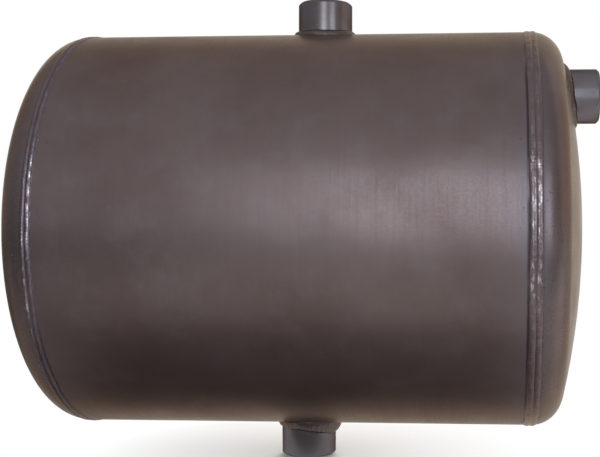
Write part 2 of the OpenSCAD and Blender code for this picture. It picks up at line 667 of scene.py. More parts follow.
def girth_tree() -> ShapeTree:
    """Tree of one run of a girth weld: a rippled ring round the tank that follows shell and knuckle.

    Returns:
        The tree.
    """
    sizes = JOINT_SIZES + BEAD_SIZES + ("Run Offset", "Width", "Height")
    form = ShapeTree("girth_weld_run", sizes, BEAD_OTHERS)
    grid, along, around = form.grid()
    angle = along * math.tau
    bead = Bead(form, along, around, combine(form.tree, angle.does("SINE"), angle.does("COSINE"), 0.0))
    across = bead.across()
    from_joint = form.get("Run Offset") + bead.aside(across)
    crown = (1.0 - across * across).maximum(0.0)
    ripple = bead.ripple(across)
    lumps = bead.uneven(11.0, 2.1) * 0.6 + bead.uneven(34.0, 6.3) * 0.7 + 1.0
    swell = form.get("Height") * lumps * crown**1.2
    face = swell + form.get("Ripple Depth") * ripple * crown**0.6
    radius = form.skin_radius(from_joint) + bead.lift(face)
    place = form.on_tank(form.get("Joint X") + from_joint, radius, angle)
    form.bend(grid, place, {"ripple": ripple, "crest": swell / MM})
    return form


def seam_tree() -> ShapeTree:
    """Tree of the lengthwise seam: a rippled bead along the tank, between the girth welds.

    Returns:
        The tree.
    """
    sizes = ("Radius", "Axis Height", "Middle X", "Length", "Seam Angle", "Width", "Height")
    form = ShapeTree("seam_weld_run", BEAD_SIZES + sizes, BEAD_OTHERS)
    grid, along, around = form.grid()
    bead = Bead(form, along, around, combine(form.tree, along * 2.4, 0.0, 0.0))
    across = bead.across()
    crown = (1.0 - across * across).maximum(0.0)
    ends = (1.0 - ((along * 2.0 - 1.0) ** 2.0) ** 40.0).maximum(0.0)
    ripple = bead.ripple(across)
    swell = form.get("Height") * (bead.uneven(11.0, 2.1) * 0.5 + 1.0) * crown**0.75
    face = (swell + form.get("Ripple Depth") * ripple * crown**0.4) * ends
    radius = form.get("Radius")
    angle = form.get("Seam Angle") + bead.aside(across) / radius
    place_x = form.get("Middle X") + (along - 0.5) * form.get("Length")
    place = form.on_tank(place_x, radius + bead.lift(face), angle)
    form.bend(grid, place, {"ripple": ripple, "crest": swell / MM})
    return form


def fillet_tree() -> ShapeTree:
    """Tree of a fillet weld round a socket, on the round shell or on a head's crown.

    The tree works with the socket's axis along Z. The plate is part of a cylinder along X where
    Roundness is 0, and of a sphere where it is 1.

    Returns:
        The tree.
    """
    sizes = ("Socket Radius", "Surface Radius", "Roundness", "Centre X", "Centre Z",
             "Plate Leg", "Socket Leg", "Bulge", "Heavy Angle", "Heavy Share")
    form = ShapeTree("fillet_weld", BEAD_SIZES + sizes, BEAD_OTHERS)
    tree = form.tree
    grid, along, around = form.grid()
    angle = along * math.tau
    sine, cosine = angle.does("SINE"), angle.does("COSINE")
    bead = Bead(form, along, around, combine(tree, sine, cosine, 0.0))
    over, under = bead.over, bead.under

    def plate_height(radius: Scalar) -> Scalar:
        """Height of the plate's outside.

        Args:
            radius: Distance from the socket's axis.

        Returns:
            The height there.
        """
        aside = radius * cosine - form.get("Centre X")
        depth = radius * sine
        fall = aside * aside * form.get("Roundness") + depth * depth
        reach = form.get("Surface Radius")
        return form.get("Centre Z") + (reach * reach - fall).does("SQRT")

    def back(top: Scalar, bend: Scalar, toe: Scalar) -> Scalar:
        """A curve under the plate from the weld's top to its toe."""
        rest = 1.0 - under
        return top * rest * rest + bend * rest * under * 2.0 + toe * under * under

    heavy = (angle - form.get("Heavy Angle")).does("COSINE") * form.get("Heavy Share") + 1.0
    plate_leg, socket_leg = (
        form.get(title) * (bead.uneven(1.7, step) * form.get("Wander") + 1.0) * heavy
        for title, step in (("Plate Leg", 0.0), ("Socket Leg", 5.1))
    )
    socket_r = form.get("Socket Radius")
    toe_r = socket_r + plate_leg
    toe_z = plate_height(toe_r) - TUCK
    root_z = plate_height(socket_r)
    top_r, top_z = socket_r - TUCK, root_z + socket_leg
    bow = over * (1.0 - over) * 4.0
    ripple = bead.ripple(over * 2.0 - 1.0)
    swell = form.get("Bulge") * bow + form.get("Ripple Depth") * ripple * bow**0.5
    face_r = toe_r + (top_r - toe_r) * over + swell * math.sqrt(0.5)
    face_z = toe_z + (top_z - toe_z) * over + swell * math.sqrt(0.5)
    back_r = back(top_r, (socket_r - form.get("Sink")) * 2.0 - (toe_r + top_r) * 0.5, toe_r)
    back_z = back(top_z, (root_z - form.get("Sink")) * 2.0 - (toe_z + top_z) * 0.5, toe_z)
    below = around.above(FACE_SHARE + ROUND_OFF)
    radius = face_r + (back_r - face_r) * below
    height = face_z + (back_z - face_z) * below
    place = combine(tree, radius * cosine, radius * sine, height)
    form.bend(grid, place, {"ripple": ripple, "crest": swell / MM})
    return form


# Finishes


def start_effect(effect: Effect, inputs: Kinds, outputs: Kinds) -> tuple[Tree, dict[str, Socket]]:
    """Makes the node group of a shared effect.

    Args:
        effect: The effect.
        inputs: Name and kind of each input.
        outputs: Name and kind of each output.

    Returns:
        The group, and its inputs by name.
    """
    group = bpy.data.node_groups.new(effect.value, "ShaderNodeTree")
    for way, sockets in (("INPUT", inputs), ("OUTPUT", outputs)):
        for title, kind in sockets.items():
            group.interface.new_socket(title, in_out=way, socket_type=kind.value)
    source = group.nodes.new("NodeGroupInput")
    return group, {title: source.outputs[title] for title in inputs}


def end_effect(group: Tree, results: dict[str, Scalar | Socket]) -> Tree:
    """Puts out the results of a shared effect.

    Args:
        group: The effect's node group.
        results: The results, by the name of the output.

    Returns:
        The group.
    """
    sink = group.nodes.new("NodeGroupOutput")
    for title, value in results.items():
        feed(group, value, sink.inputs[title])
    return group


def mill_scale_group() -> Tree:
    """Shared effect: brown rolled scale with patches, fine lines round the tank and small pits.

    Returns:
        The effect's node group.
    """
    group, source = start_effect(
        Effect.SCALE,
        {"Vector": Kind.PLACE, "Brown": Kind.COLOUR, "Dark": Kind.COLOUR, "Grey": Kind.COLOUR,
         "Gloss": Kind.NUMBER},
        {"Color": Kind.COLOUR, "Roughness": Kind.NUMBER, "Height": Kind.NUMBER},
    )
    place = source["Vector"]
    patches = noise(group, place, scale=13.0, detail=5.0, rough=0.6)
    clouds = noise(group, place, scale=38.0, detail=4.0, rough=0.62)
    lines = noise(group, scaled(group, place, (620.0, 16.0, 16.0)), scale=1.0, detail=3.0, rough=0.6)
    grain = noise(group, place, scale=800.0, detail=2.0, rough=0.6)
    pits = noise(group, place, scale=330.0, detail=3.0, rough=0.7)
    brown = mix_colour(group, patches.over(0.42, gain=3.2), source["Brown"], source["Dark"])
    greyed = mix_colour(group, clouds.over(0.5, gain=3.0) * 0.65, brown, source["Grey"])
    lined = mix_colour(group, lines.over(0.52, gain=3.0) * 0.3, greyed, source["Dark"])
    flecked = mix_colour(group, grain.over(0.6, gain=5.0) * 0.35, lined, source["Grey"])
    gloss = Scalar(group, source["Gloss"])
    broad = (patches - 0.5) * 0.16 + (clouds - 0.5) * 0.16
    fine = (grain - 0.5) * 0.22 + (lines - 0.5) * 0.1
    rough = (gloss + broad + fine).maximum(0.15).minimum(0.8)
    height = lines * 0.35 + grain * 0.45 - pits.over(0.64, gain=4.0) * 0.6
    return end_effect(group, {"Color": flecked, "Roughness": rough, "Height": height})


def heat_and_toe_shade_group() -> Tree:
    """Shared effect: the colours that welding heat leaves on bare plate, by distance from the weld's toe, and
    a painted shade: a dark line at the toe that stands for the shade in its undercut groove.

    Returns:
        The effect's node group.
    """
    group, source = start_effect(
        Effect.HEAT,
        {"Vector": Kind.PLACE, "Distance": Kind.NUMBER, "Color": Kind.COLOUR, "Blue": Kind.COLOUR,
         "Soot": Kind.COLOUR, "Reach": Kind.NUMBER, "Undercut": Kind.NUMBER},
        {"Color": Kind.COLOUR},
    )
    place = source["Vector"]
    distance, reach, undercut = (Scalar(group, source[title]) for title in ("Distance", "Reach", "Undercut"))
    ragged = (noise(group, place, scale=60.0, detail=4.0, rough=0.6) - 0.5) * 0.9 + 1.0
    away = distance.maximum(0.0) / (reach * ragged)
    blue = (away * -1.0).does("EXPONENT")
    broken = noise(group, place, scale=22.0).over(0.4, gain=6.0)
    # Painted shade: a dark line right at the weld's toe, for the shade in its undercut groove.
    soot = (undercut - away * 12.0).clamped() * broken
    tinted = mix_colour(group, blue * 0.45, source["Color"], source["Blue"])
    return end_effect(group, {"Color": mix_colour(group, soot * 0.85, tinted, source["Soot"])})


def place_group(tree: Tree, group: Tree, values: dict[str, Value]) -> bpy.types.Node:
    """Puts a shared effect into a material.

    Args:
        tree: The material's node tree.
        group: The effect.
        values: The effect's inputs, by name.

    Returns:
        The new group node.
    """
    node = tree.nodes.new("ShaderNodeGroup")
    node.node_tree = group
    for title, value in values.items():
        feed(tree, value, node.inputs[title])
    return node


def mark(tree: Tree, title: str) -> Scalar:
    """Reads a number that is kept on the mesh's points.

    Args:
        tree: The material's node tree.
        title: The name that it is kept under.

    Returns:
        The number.
    """
    node = tree.nodes.new("ShaderNodeAttribute")
    node.attribute_name = title
    return Scalar(tree, node.outputs["Fac"])


# Least roughness of weld metal and sockets.
LEAST_ROUGH = 0.12


@dataclass(frozen=True)
class Steel:
    """A bare steel finish.

    Attributes:
        name: Name of its material.
        metallic: Share of mirror-like reflection that takes the metal's own colour.
        rim: Colour that the metal reflects at a glancing angle.
        bump: Strength of its fine relief.
        relief: Depth of its fine relief, in metres.
    """

    name: str
    metallic: float = 0.9
    rim: Colour = (0.72, 0.61, 0.49)
    bump: float = 0.5
    relief: float = 0.1 * MM

    def start(self) -> tuple[Material, Tree, Socket]:
        """Makes the material with its shader.

        Returns:
            The material, its tree and the object's own coordinates.
        """
        material = bpy.data.materials.new(self.name)
        material.use_nodes = True
        tree = material.node_tree
        shader = tree.nodes["Principled BSDF"]
        shader.inputs["Metallic"].default_value = self.metallic
        shader.inputs["Specular Tint"].default_value = (*self.rim, 1.0)
        return material, tree, tree.nodes.new("ShaderNodeTexCoord").outputs["Object"]

    def end(self, tree: Tree, colour: Socket, rough: Scalar | Socket, height: Scalar | Socket) -> None:
        """Feeds the shader.

        Args:
            tree: The material's node tree.
            colour: The metal's colour.
            rough: Its roughness.
            height: Height of its fine relief.
        """
        bump = tree.nodes.new("ShaderNodeBump")
        bump.inputs["Strength"].default_value = self.bump
        bump.inputs["Distance"].default_value = self.relief
        feed(tree, height, bump.inputs["Height"])
        shader = tree.nodes["Principled BSDF"]
        results = {"Base Color": colour, "Roughness": rough, "Normal": bump.outputs["Normal"]}
        for title, value in results.items():
            feed(tree, value, shader.inputs[title])


@dataclass(frozen=True)
class PlateFinish(Steel):
    """Rolled plate with brown mill scale, tinted by heat beside its welds, and with painted shade: a dark
    line at a weld's toe for the shade in its undercut groove.

    Attributes:
        brown: Main colour of the scale.
        dark: Colour of its darker patches and lines.
        grey: Colour where the scale is thin.
        blue: Heat tint beside the welds.
        soot: Painted shade: the dark line at a weld's toe, for the shade in its undercut groove.
        gloss: Middle roughness.
        undercut: Strength of that painted shade.
        weld_half: Half the width of the right girth weld.
        left_gap: How much is added to the distance from the left joint, where the tint is weaker.
        heat_reach: How far the heat tint reaches.
    """

    brown: Colour = (0.135, 0.104, 0.102)
    dark: Colour = (0.108, 0.078, 0.076)
    grey: Colour = (0.155, 0.133, 0.137)
    blue: Colour = (0.114, 0.112, 0.134)
    soot: Colour = (0.035, 0.026, 0.027)
    gloss: float = 0.36
    undercut: float = 1.7
    weld_half: float = 4.9 * MM
    left_gap: float = 6 * MM
    heat_reach: float = 12 * MM

    def material(self, tank: Tank, effects: dict[Effect, Tree]) -> Material:
        """Builds the material.

        Args:
            tank: Sizes of the tank, which place the heat tint.
            effects: The shared effects.

        Returns:
            The finished material.
        """
        material, tree, place = self.start()
        scale = place_group(tree, effects[Effect.SCALE], {
            "Vector": place, "Brown": self.brown, "Dark": self.dark, "Grey": self.grey, "Gloss": self.gloss,
        })
        along, _, _ = separate(tree, place)
        from_right, from_left = (
            (along - tank.joint_x(end)).does("ABSOLUTE") for end in (End.RIGHT, End.LEFT)
        )
        # Heat tint beside the welds, with painted shade: a dark line at a weld's toe.
        heat = place_group(tree, effects[Effect.HEAT], {
            "Vector": place,
            "Distance": (from_right - self.weld_half).minimum(from_left + self.left_gap),
            "Color": scale.outputs["Color"],
            "Blue": self.blue,
            "Soot": self.soot,
            "Reach": self.heat_reach,
            "Undercut": self.undercut,
        })
        self.end(tree, heat.outputs["Color"], scale.outputs["Roughness"], scale.outputs["Height"])
        return material


@dataclass(frozen=True)
class WeldFinish(Steel):
    """As-welded metal: brown scale like the plates', with bare bright metal on some crests, and a painted
    highlight: the same bright colour on the crests of a stretch at the front, where the lamp's highlight
    falls.

    Attributes:
        bright: Colour of the bare crests, and of the painted highlight on them.
        dark: Colour between the ripples and of the slag.
        violet: One heat tint of the scale.
        brown: Another one.
        gloss: Middle roughness of the scale.
        bare_from: Height of the bead, in millimetres, from which it is bare.
        bare_cut: How much of the crests keeps its scale.
        highlight_middle: Height of the middle of the painted highlight, a stretch of bright crests at the
            front.
        highlight_half: Half the length of that stretch.
        highlight_fade: Length over which it ends.
        highlight_ragged: How unevenly it ends.
        highlight_lean: By how much that stretch is higher for each metre along X.
        joint: Place along X at which the stretch has its middle height.
        bare_rest: Share of bare metal elsewhere.
    """

    bright: Colour = (0.42, 0.385, 0.41)
    dark: Colour = (0.06, 0.045, 0.046)
    violet: Colour = (0.14, 0.112, 0.122)
    brown: Colour = (0.125, 0.098, 0.096)
    gloss: float = 0.3
    bare_from: float = 0.45
    bare_cut: float = 0.5
    highlight_middle: float = 180 * MM
    highlight_half: float = 55 * MM
    highlight_fade: float = 18 * MM
    highlight_ragged: float = 30 * MM
    highlight_lean: float = 0.0
    joint: float = 0.0
    bare_rest: float = 0.12

    def material(self) -> Material:
        """Builds the material.

        Returns:
            The finished material.
        """
        material, tree, place = self.start()
        ripple, crest = (mark(tree, title) for title in ("ripple", "crest"))
        patches = noise(tree, place, scale=90.0, detail=4.0, rough=0.6)
        grain = noise(tree, place, scale=900.0, detail=3.0, rough=0.65)
        slag = noise(tree, scaled(tree, place, (1.5, 0.55, 0.55)), scale=260.0, detail=3.0, rough=0.6)
        scale = mix_colour(tree, patches.over(0.45, gain=4.0), self.violet, self.brown)
        grooved = mix_colour(tree, ripple * 0.3 + 0.7, self.dark, scale)
        specked = mix_colour(tree, slag.over(0.62, gain=6.0) * 0.7, grooved, self.dark)
        # Painted highlight: on the front half, within a band of heights where the lamp's highlight falls, the
        # crests take the bright colour.
        along, depth, height = separate(tree, place)
        middle = (along - self.joint) * self.highlight_lean + self.highlight_middle
        from_middle = (height - middle).does("ABSOLUTE") + (patches - 0.5) * self.highlight_ragged
        painted_highlight = ((self.highlight_half - from_middle) / self.highlight_fade).clamped() * (depth * -1.0).above(0.0)
        crests = crest.over(self.bare_from, gain=4.0) * ((1.0 - self.bare_cut - slag) * 7.0).clamped()
        # Bare crests elsewhere, at the bare_rest share, and the painted highlight in that stretch.
        bare = crests * (painted_highlight * (1.0 - self.bare_rest) + self.bare_rest)
        rough = self.gloss + (grain - 0.5) * 0.16 - bare * 0.16
        colour = mix_colour(tree, bare, specked, self.bright)
        self.end(tree, colour, rough.maximum(LEAST_ROUGH), grain * 0.4 + slag * 0.7)
        return material


@dataclass(frozen=True)
class SocketFinish(Steel):
    """Turned steel, darkened and stained, with marks of the lathe round it.

    Attributes:
        steel: Main colour.
        brown: Colour of the stained patches.
        blue: Colour of the heat tint.
        gloss: Middle roughness.
        marks_per_metre: How closely the lathe's marks follow each other.
    """

    rim: Colour = (0.32, 0.28, 0.25)
    steel: Colour = (0.14, 0.128, 0.138)
    brown: Colour = (0.1, 0.076, 0.073)
    blue: Colour = (0.15, 0.155, 0.185)
    gloss: float = 0.22
    marks_per_metre: float = 2600.0

    def material(self) -> Material:
        """Builds the material.

        Returns:
            The finished material.
        """
        material, tree, place = self.start()
        way = combine(tree, mark(tree, "along") * self.marks_per_metre, 0.0, 0.0)
        turning = noise(tree, way, scale=1.0, detail=3.0, rough=0.7)
        patches = noise(tree, place, scale=48.0, detail=4.0, rough=0.55)
        grain = noise(tree, place, scale=700.0, detail=2.0)
        stained = mix_colour(tree, patches.over(0.48, gain=4.0) * 0.7, self.steel, self.brown)
        tinted = mix_colour(tree, patches.over(0.5, gain=-4.0) * 0.5, stained, self.blue)
        turned = mix_colour(tree, turning.over(0.55, gain=3.0) * 0.35, tinted, self.brown)
        rough = self.gloss + (patches - 0.5) * 0.08 + (turning - 0.5) * 0.12 + (grain - 0.5) * 0.1
        self.end(tree, turned, rough.maximum(LEAST_ROUGH), turning * 0.7 + grain * 0.3)
        return material


# Pieces


def add_piece(name: str, mesh: Mesh, material: Material, slot: Slot, *nodes: str) -> None:
    """Adds a finished mesh in place of CAD nodes.

    Args:
        name: Name of the piece.
        mesh: Its mesh, in place.
        material: Its finish.
        slot: The record's slot that it takes its finish from; not used.
        nodes: The CAD nodes that it stands for.
    """
    mesh.materials.clear()
    mesh.materials.append(material)
    piece = bpy.data.objects.new(name, mesh)
    bpy.context.scene.collection.objects.link(piece)
    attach(piece, BODY)
    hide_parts(*nodes)
    log.info("%s: %d faces, stands for %s", name, len(mesh.polygons), ", ".join(nodes))


@dataclass
class Plates:
    """The shell and the two heads, which keep their CAD shapes.

    Attributes:
        shell: Finish of the shell.
        head: Finish of both heads.
    """

    shell: Material
    head: Material

    def dress(self) -> None:
        """Gives each plate its finish."""
        for node, material in (("shell", self.shell), ("left_head", self.head), ("right_head", self.head)):
            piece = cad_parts[node]
            piece.data.materials.clear()
            piece.data.materials.append(material)
            log.info("%s: finish %s", node, material.name)


@dataclass(frozen=True)
class Ripples:
    """The ripples of a weld run, and the grid that shows them.

    Attributes:
        pitch: Length of a ripple.
        depth: Height of a ripple.
        wander: How far the run strays sideways, or the share by which a fillet's legs change.
        steps: Number of grid steps along each ripple.
        steps_across: Number of grid steps round the section.
        sink: How deep the run's underside is buried.
    """

    pitch: float = 2.4 * MM
    depth: float = 0.05 * MM
    wander: float = 1.2 * MM
    steps: int = 7
    steps_across: int = 13
    sink: float = 1.6 * MM

    def inputs(self, length: float, seed: float, material: Material) -> Inputs:
        """The inputs of a run's tree that set its ripples.

        Args:
            length: Length of the run.
            seed: Sets one run apart from another.
            material: Its finish.

        Returns:
            The inputs, by name.
        """
        count = round(length / self.pitch)
        return {
            "Steps Along": count * self.steps + 1,
            "Steps Across": self.steps_across + 1,
            "Ripples": float(count),
            "Ripple Depth": self.depth,
            "Wander": self.wander,
            "Sink": self.sink,
            "Seed": seed,
            "Material": material,
        }


@dataclass(frozen=True)
class Run:
    """One run of a girth weld.

    Attributes:
        offset: Place of its middle beside the joint.
        width: Its width.
        height: Its height.
        ripples: Its ripples.
    """

    offset: float
    width: float
    height: float
    ripples: Ripples = Ripples()


@dataclass
class GirthWelds:
    """The two girth welds: two like runs on the right, and two thin ridges on a flat run on the left.

    Attributes:
        tank: Sizes of the tank.
        materials: Finish of each weld.
        runs: The runs of each weld.
        spatter: Number of beads of spatter beside each weld.
        spatter_angle: Middle of the spatter round the tank, from the top towards the back.
        spatter_spread: How far it spreads to each side of that.
        spatter_toe: Where it starts beside the joint.
        spatter_reach: How far it reaches from there.
        spatter_r: Radius of its largest bead.
        end_seed: Sets one weld apart from the other.
        run_seed: Sets one run of a weld apart from the next.
        form: The tree that makes a run.
        dots: The tree that makes spatter.
    """

    tank: Tank
    materials: dict[End, Material]
    runs: dict[End, tuple[Run, ...]]
    spatter: dict[End, int]
    spatter_angle: float = math.radians(-98)
    spatter_spread: float = math.radians(42)
    spatter_toe: float = 3 * MM
    spatter_reach: float = 8 * MM
    spatter_r: float = 0.55 * MM
    end_seed: float = 10.0
    run_seed: float = 6.0
    form: ShapeTree = field(default_factory=girth_tree)
    dots: ShapeTree = field(default_factory=spatter_tree)

    def build(self) -> None:
        """Builds both welds, each with its spatter."""
        for end in End:
            side = end.name.lower()
            work = bmesh.new()
            for number, run in enumerate(self.runs[end]):
                work.from_mesh(self.bead(end, number, run))
            work.from_mesh(self.spots(end))
            joined = bpy.data.meshes.new(f"{side}_girth_bead")
            work.to_mesh(joined)
            work.free()
            add_piece(joined.name, joined, self.materials[end], Slot.WELD, f"{side}_girth_weld")

    def bead(self, end: End, number: int, run: Run) -> Mesh:
        """Builds one run.

        Args:
            end: The end of the tank that it is on.
            number: Its number in the weld.
            run: Its sizes.

        Returns:
            The run's mesh.
        """
        seed = self.end_seed * end.value + self.run_seed * number
        return self.form.make(
            f"{end.name.lower()}_girth_run_{number}",
            {
                **run.ripples.inputs(math.tau * self.tank.shell_r, seed, self.materials[end]),
                **self.joint(end),
                "Run Offset": run.offset,
                "Width": run.width,
                "Height": run.height,
            },
        )

    def spots(self, end: End) -> Mesh:
        """Builds the spatter beside one weld.

        Args:
            end: The end of the tank that it is on.

        Returns:
            The spatter's mesh.
        """
        return self.dots.make(
            f"{end.name.lower()}_spatter",
            {
                **self.joint(end),
                "Count": self.spatter[end],
                "Toe": self.spatter_toe,
                "Reach": self.spatter_reach,
                "Largest": self.spatter_r,
                "Middle Angle": self.spatter_angle,
                "Spread": self.spatter_spread,
                "Material": self.materials[end],
            },
        )

    def joint(self, end: End) -> dict[str, float]:
        """The inputs that place a piece on a girth joint.

        Args:
            end: The end of the tank that the joint is on.

        Returns:
            The inputs, by name.
        """
        tank = self.tank
        places = (tank.shell_r, tank.axis_z, tank.joint_x(end), float(end.value), tank.knuckle_r, tank.flange)
        return dict(zip(JOINT_SIZES, places))


@dataclass
class SeamWeld:
    """The lengthwise seam at the back of the shell.

    Attributes:
        tank: Sizes of the tank.
        material: Finish of the weld metal.
        width: Width of the bead.
        height: Height of the bead.
        end_gap: How far each of its ends is from a girth joint.
        seed: Sets it apart from the other welds.
        ripples: Its ripples.
    """

    tank: Tank
    material: Material
    width: float = 7.8 * MM
    height: float = 0.95 * MM
    end_gap: float = 1 * MM
    seed: float = 41.0
    ripples: Ripples = Ripples(pitch=2.8 * MM, depth=0.25 * MM, wander=0.8 * MM, steps_across=14)

    def build(self) -> None:
        """Builds the seam."""
        tank = self.tank
        length = 2 * (tank.joint_half - self.end_gap)
        mesh = seam_tree().make(
            "seam_bead",
            {
                **self.ripples.inputs(length, self.seed, self.material),
                "Radius": tank.shell_r,
                "Axis Height": tank.axis_z,
                "Middle X": tank.mid_x,
                "Length": length,
                "Seam Angle": tank.seam_angle,
                "Width": self.width,
                "Height": self.height,
            },
        )
        face_outwards(mesh, close=True)
        add_piece("seam_bead", mesh, self.material, Slot.WELD, "seam_weld")


@dataclass(frozen=True)
class PortPlace:
    """Where a socket stands.

    Attributes:
        matrix: From the socket's own frame, with its axis along Z, to the tank's.
        inner: Its inner end along its axis.
        rim: Its rim along its axis.
        surface_r: Radius of the plate that it stands on.
        roundness: 0 on the round shell, 1 on the dished crown.
        centre_x: The plate's centre beside the socket's axis.
        centre_z: The plate's centre along the socket's axis.
    """

    matrix: Matrix
    inner: float
    rim: float
    surface_r: float
    roundness: float = 0.0
    centre_x: float = 0.0
    centre_z: float = 0.0

    @classmethod
    def of(cls, port: Port, tank: Tank) -> "PortPlace":
        """Finds a socket's place from its CAD node.

        Args:
            port: The socket.
            tank: Sizes of the tank.

        Returns:
            The socket's place.
        """
        low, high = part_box(port.value)
        middle = (low + high) / 2
        if port is Port.END:
            base = Vector((tank.joint_x(End.RIGHT), 0.0, middle.z))
            turn = Matrix(((0, 0, 1), (0, 1, 0), (-1, 0, 0))).to_4x4()
            return cls(Matrix.Translation(base) @ turn, low.x - base.x, high.x - base.x, tank.crown_r, 1.0,
                       middle.z - tank.axis_z, tank.crown_centre)
        base = Vector((middle.x, 0.0, tank.axis_z))
        if port is Port.TOP:
            return cls(Matrix.Translation(base), low.z - base.z, high.z - base.z, tank.shell_r)
        turn = Matrix.Rotation(math.pi, 4, "X")
        return cls(Matrix.Translation(base) @ turn, base.z - high.z, base.z - low.z, tank.shell_r)


RingRadius = Callable[[np.ndarray], np.ndarray]
Ring = tuple[RingRadius, float]


@dataclass
class ThreadedSocket:
    """A weld-on socket with a turned outside and a cut inside thread.

    Attributes:
        port: Which socket it is.
        place: Where it stands.
        material: Its finish.
        outer_r: Outside radius.
        minor_r: Radius at the thread's crests.
        thread_pitch: Distance between the thread's turns.
        thread_depth: Depth of the thread.
        thread_slope: Steepness of its flanks.
        thread_land: How wide its flat crests and roots are.
        rim_chamfer: Chamfer round the rim.
        lead_chamfer: Chamfer that leads into the thread.
        lead_share: Share of the thread's depth that is added to that chamfer.
        edge_r: Radius of the broken edges.
        edge_steps: Number of pieces in each broken edge.
        around: Number of points round it.
        rows_per_turn: Number of rings for each turn of the thread.
        sharp_from: Angle from which an edge is shaded as a sharp one.
    """

    port: Port
    place: PortPlace
    material: Material
    outer_r: float = 21 * MM
    minor_r: float = 15.15 * MM
    thread_pitch: float = 2.309 * MM
    thread_depth: float = 1.3 * MM
    thread_slope: float = 1.3
    thread_land: float = 0.15
    rim_chamfer: float = 2 * MM
    lead_chamfer: float = 1.7 * MM
    lead_share: float = 0.3
    edge_r: float = 0.6 * MM
    edge_steps: int = 4
    around: int = 144
    rows_per_turn: int = 8
    sharp_from: float = math.radians(50)

    def build(self) -> None:
        """Builds the socket."""
        rings = self.outside() + self.bore()
        angles = np.linspace(0.0, math.tau, self.around, endpoint=False)
        points = np.concatenate([
            np.column_stack((radius * np.cos(angles), radius * np.sin(angles), np.full(self.around, height)))
            for radius, height in ((ring_r(angles), ring_z) for ring_r, ring_z in rings)
        ])
        count = len(rings)
        here = np.arange(self.around)
        after = (here + 1) % self.around
        faces = []
        for ring in range(count):
            low, high = ring * self.around, (ring + 1) % count * self.around
            faces.extend(zip(low + here, low + after, high + after, high + here))
        mesh = bpy.data.meshes.new(f"threaded_{self.port.value}")
        mesh.from_pydata(points.tolist(), [], [tuple(map(int, face)) for face in faces])
        along = mesh.attributes.new("along", "FLOAT", "POINT")
        along.data.foreach_set("value", points[:, 2].astype(np.float32))
        mesh.transform(self.place.matrix)
        mesh.shade_smooth()
        face_outwards(mesh)
        mesh.set_sharp_from_angle(angle=self.sharp_from)
        add_piece(mesh.name, mesh, self.material, Slot.SOCKET, self.port.value)

    @property
    def mouth(self) -> float:
        """By how much the bore is wider at the rim than at the thread's crests."""
        return self.lead_chamfer + self.thread_depth * self.lead_share

    def outside(self) -> list[Ring]:
        """Rings up the outside and over the rim.

        Returns:
            A radius, as a function of the angles, and a height for each ring.
        """
        rim = self.place.rim
        corners = [
            (self.outer_r, self.place.inner),
            (self.outer_r, rim - self.rim_chamfer),
            (self.outer_r - self.rim_chamfer, rim),
            (self.minor_r + self.mouth, rim),
        ]
        outline = rounded(corners, self.edge_r, self.edge_steps)
        return [(plain_ring(radius), height) for radius, height in outline]

    def bore(self) -> list[Ring]:
        """Rings down the threaded bore, from the rim to the inner end.

        Returns:
            A radius, as a function of the angles, and a height for each ring.
        """
        rim, inner = self.place.rim, self.place.inner
        step = self.thread_pitch / self.rows_per_turn
        heights = [rim - step * row for row in range(1, int((rim - inner) / step) + 1)]
        thread = [(self.thread_ring(height), height) for height in heights]
        return thread + [(plain_ring(self.minor_r), inner)]

    def thread_ring(self, height: float) -> RingRadius:
        """Outline of the threaded bore at one height.

        Args:
            height: The height along the socket's axis.

        Returns:
            The radius as a function of the angles.
        """
        lead = self.minor_r + max(0.0, self.mouth - (self.place.rim - height))

        def radius(angles: np.ndarray) -> np.ndarray:
            """The thread's radius at each angle.

            Args:
                angles: The angles round the bore.

            Returns:
                The radius at each of them.
            """
            turn = np.mod(height / self.thread_pitch + angles / math.tau, 1.0)
            groove = np.clip(np.abs(2.0 * turn - 1.0) * self.thread_slope - self.thread_land, 0.0, 1.0)
            return np.maximum(lead, self.minor_r + self.thread_depth * groove)

        return radius


def plain_ring(radius: float) -> RingRadius:
    """A round ring, as a function of the angles."""
    return lambda angles: np.full(len(angles), radius)


def rounded(corners: list[tuple[float, float]], radius: float, steps: int) -> list[tuple[float, float]]:
    """Rounds the inner corners of an open outline.

    Args:
        corners: The outline's corners.
        radius: How far from a corner its round starts.
        steps: Number of pieces in each round.

    Returns:
        The outline's points.
    """
    points = [corners[0]]
    for before, corner, after in zip(corners, corners[1:], corners[2:]):
        start = Vector(corner) + (Vector(before) - Vector(corner)).normalized() * radius
        stop = Vector(corner) + (Vector(after) - Vector(corner)).normalized() * radius
        for step in range(steps + 1):
            share = step / steps
            bend = start.lerp(Vector(corner), share).lerp(Vector(corner).lerp(stop, share), share)
            points.append((bend.x, bend.y))
    return points + [corners[-1]]


